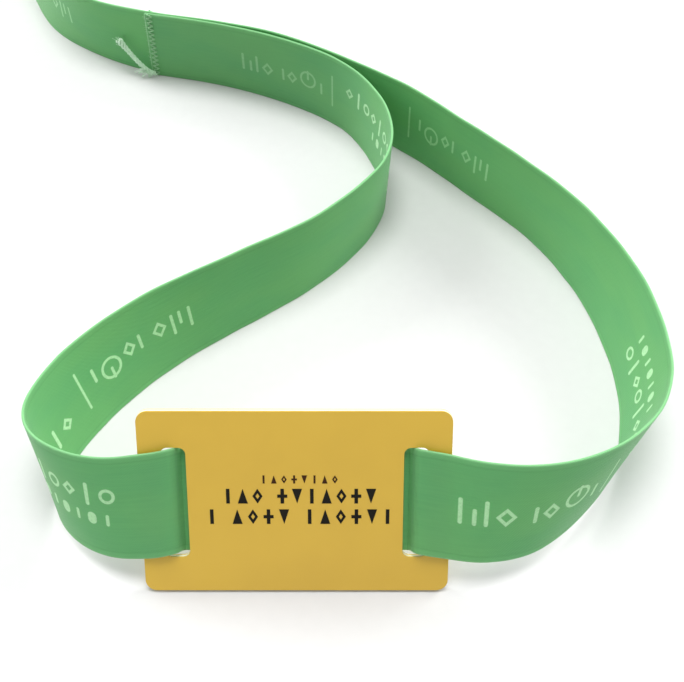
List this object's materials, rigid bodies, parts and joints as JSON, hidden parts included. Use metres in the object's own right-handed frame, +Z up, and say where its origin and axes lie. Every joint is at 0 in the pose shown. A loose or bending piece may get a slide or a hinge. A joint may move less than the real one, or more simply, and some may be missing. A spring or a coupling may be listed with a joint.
{
  "type": "ribbon band with slide-on tag",
  "caption": "Flat slotted tag with a contactless chip inside, threaded on a woven ribbon that is sewn into a loop and ends in a free tail.",
  "frame": {"origin": "on the standing surface, under the middle of the tag's box", "axes": "+X along the tag and the ribbon's pass through it, +Y from the tag's front towards its back, +Z up; the tag leans back 31 degrees"},
  "size_m": [0.1214, 0.1552, 0.0237],
  "materials": {
    "tag_film": "satin clear film over a flat mustard print",
    "tag_core": "printed sheet, pale at its cut edge",
    "inlay": "plain white sheet",
    "copper_wire": "drawn copper wire",
    "chip_metal": "plated carrier",
    "chip_resin": "moulded resin",
    "ink": "raised dark ink",
    "ribbon_cloth": null,
    "seam_thread": "twisted sewing thread",
    "loose_fibre": "pale frayed thread"
  },
  "bodies": {
    "band": {"ribbon": "ribbon_cloth", "seam_stitches": "seam_thread", "loose_thread": "loose_fibre"},
    "tag": {"front_film": "tag_film", "front_core": "tag_core", "inlay_sheet": "inlay", "antenna_coil": "copper_wire", "chip_carrier": "chip_metal", "chip_mould": "chip_resin", "rear_core": "tag_core", "rear_film": "tag_film", "ink_small_row": "ink", "ink_upper_row": "ink", "ink_lower_row": "ink"}
  },
  "joints": [
    {"name": "tag_slide", "type": "slide", "parent": "band", "child": "tag", "axis": [1, 0, 0], "range_m": [-0.0005, 0.0005]}
  ]
}
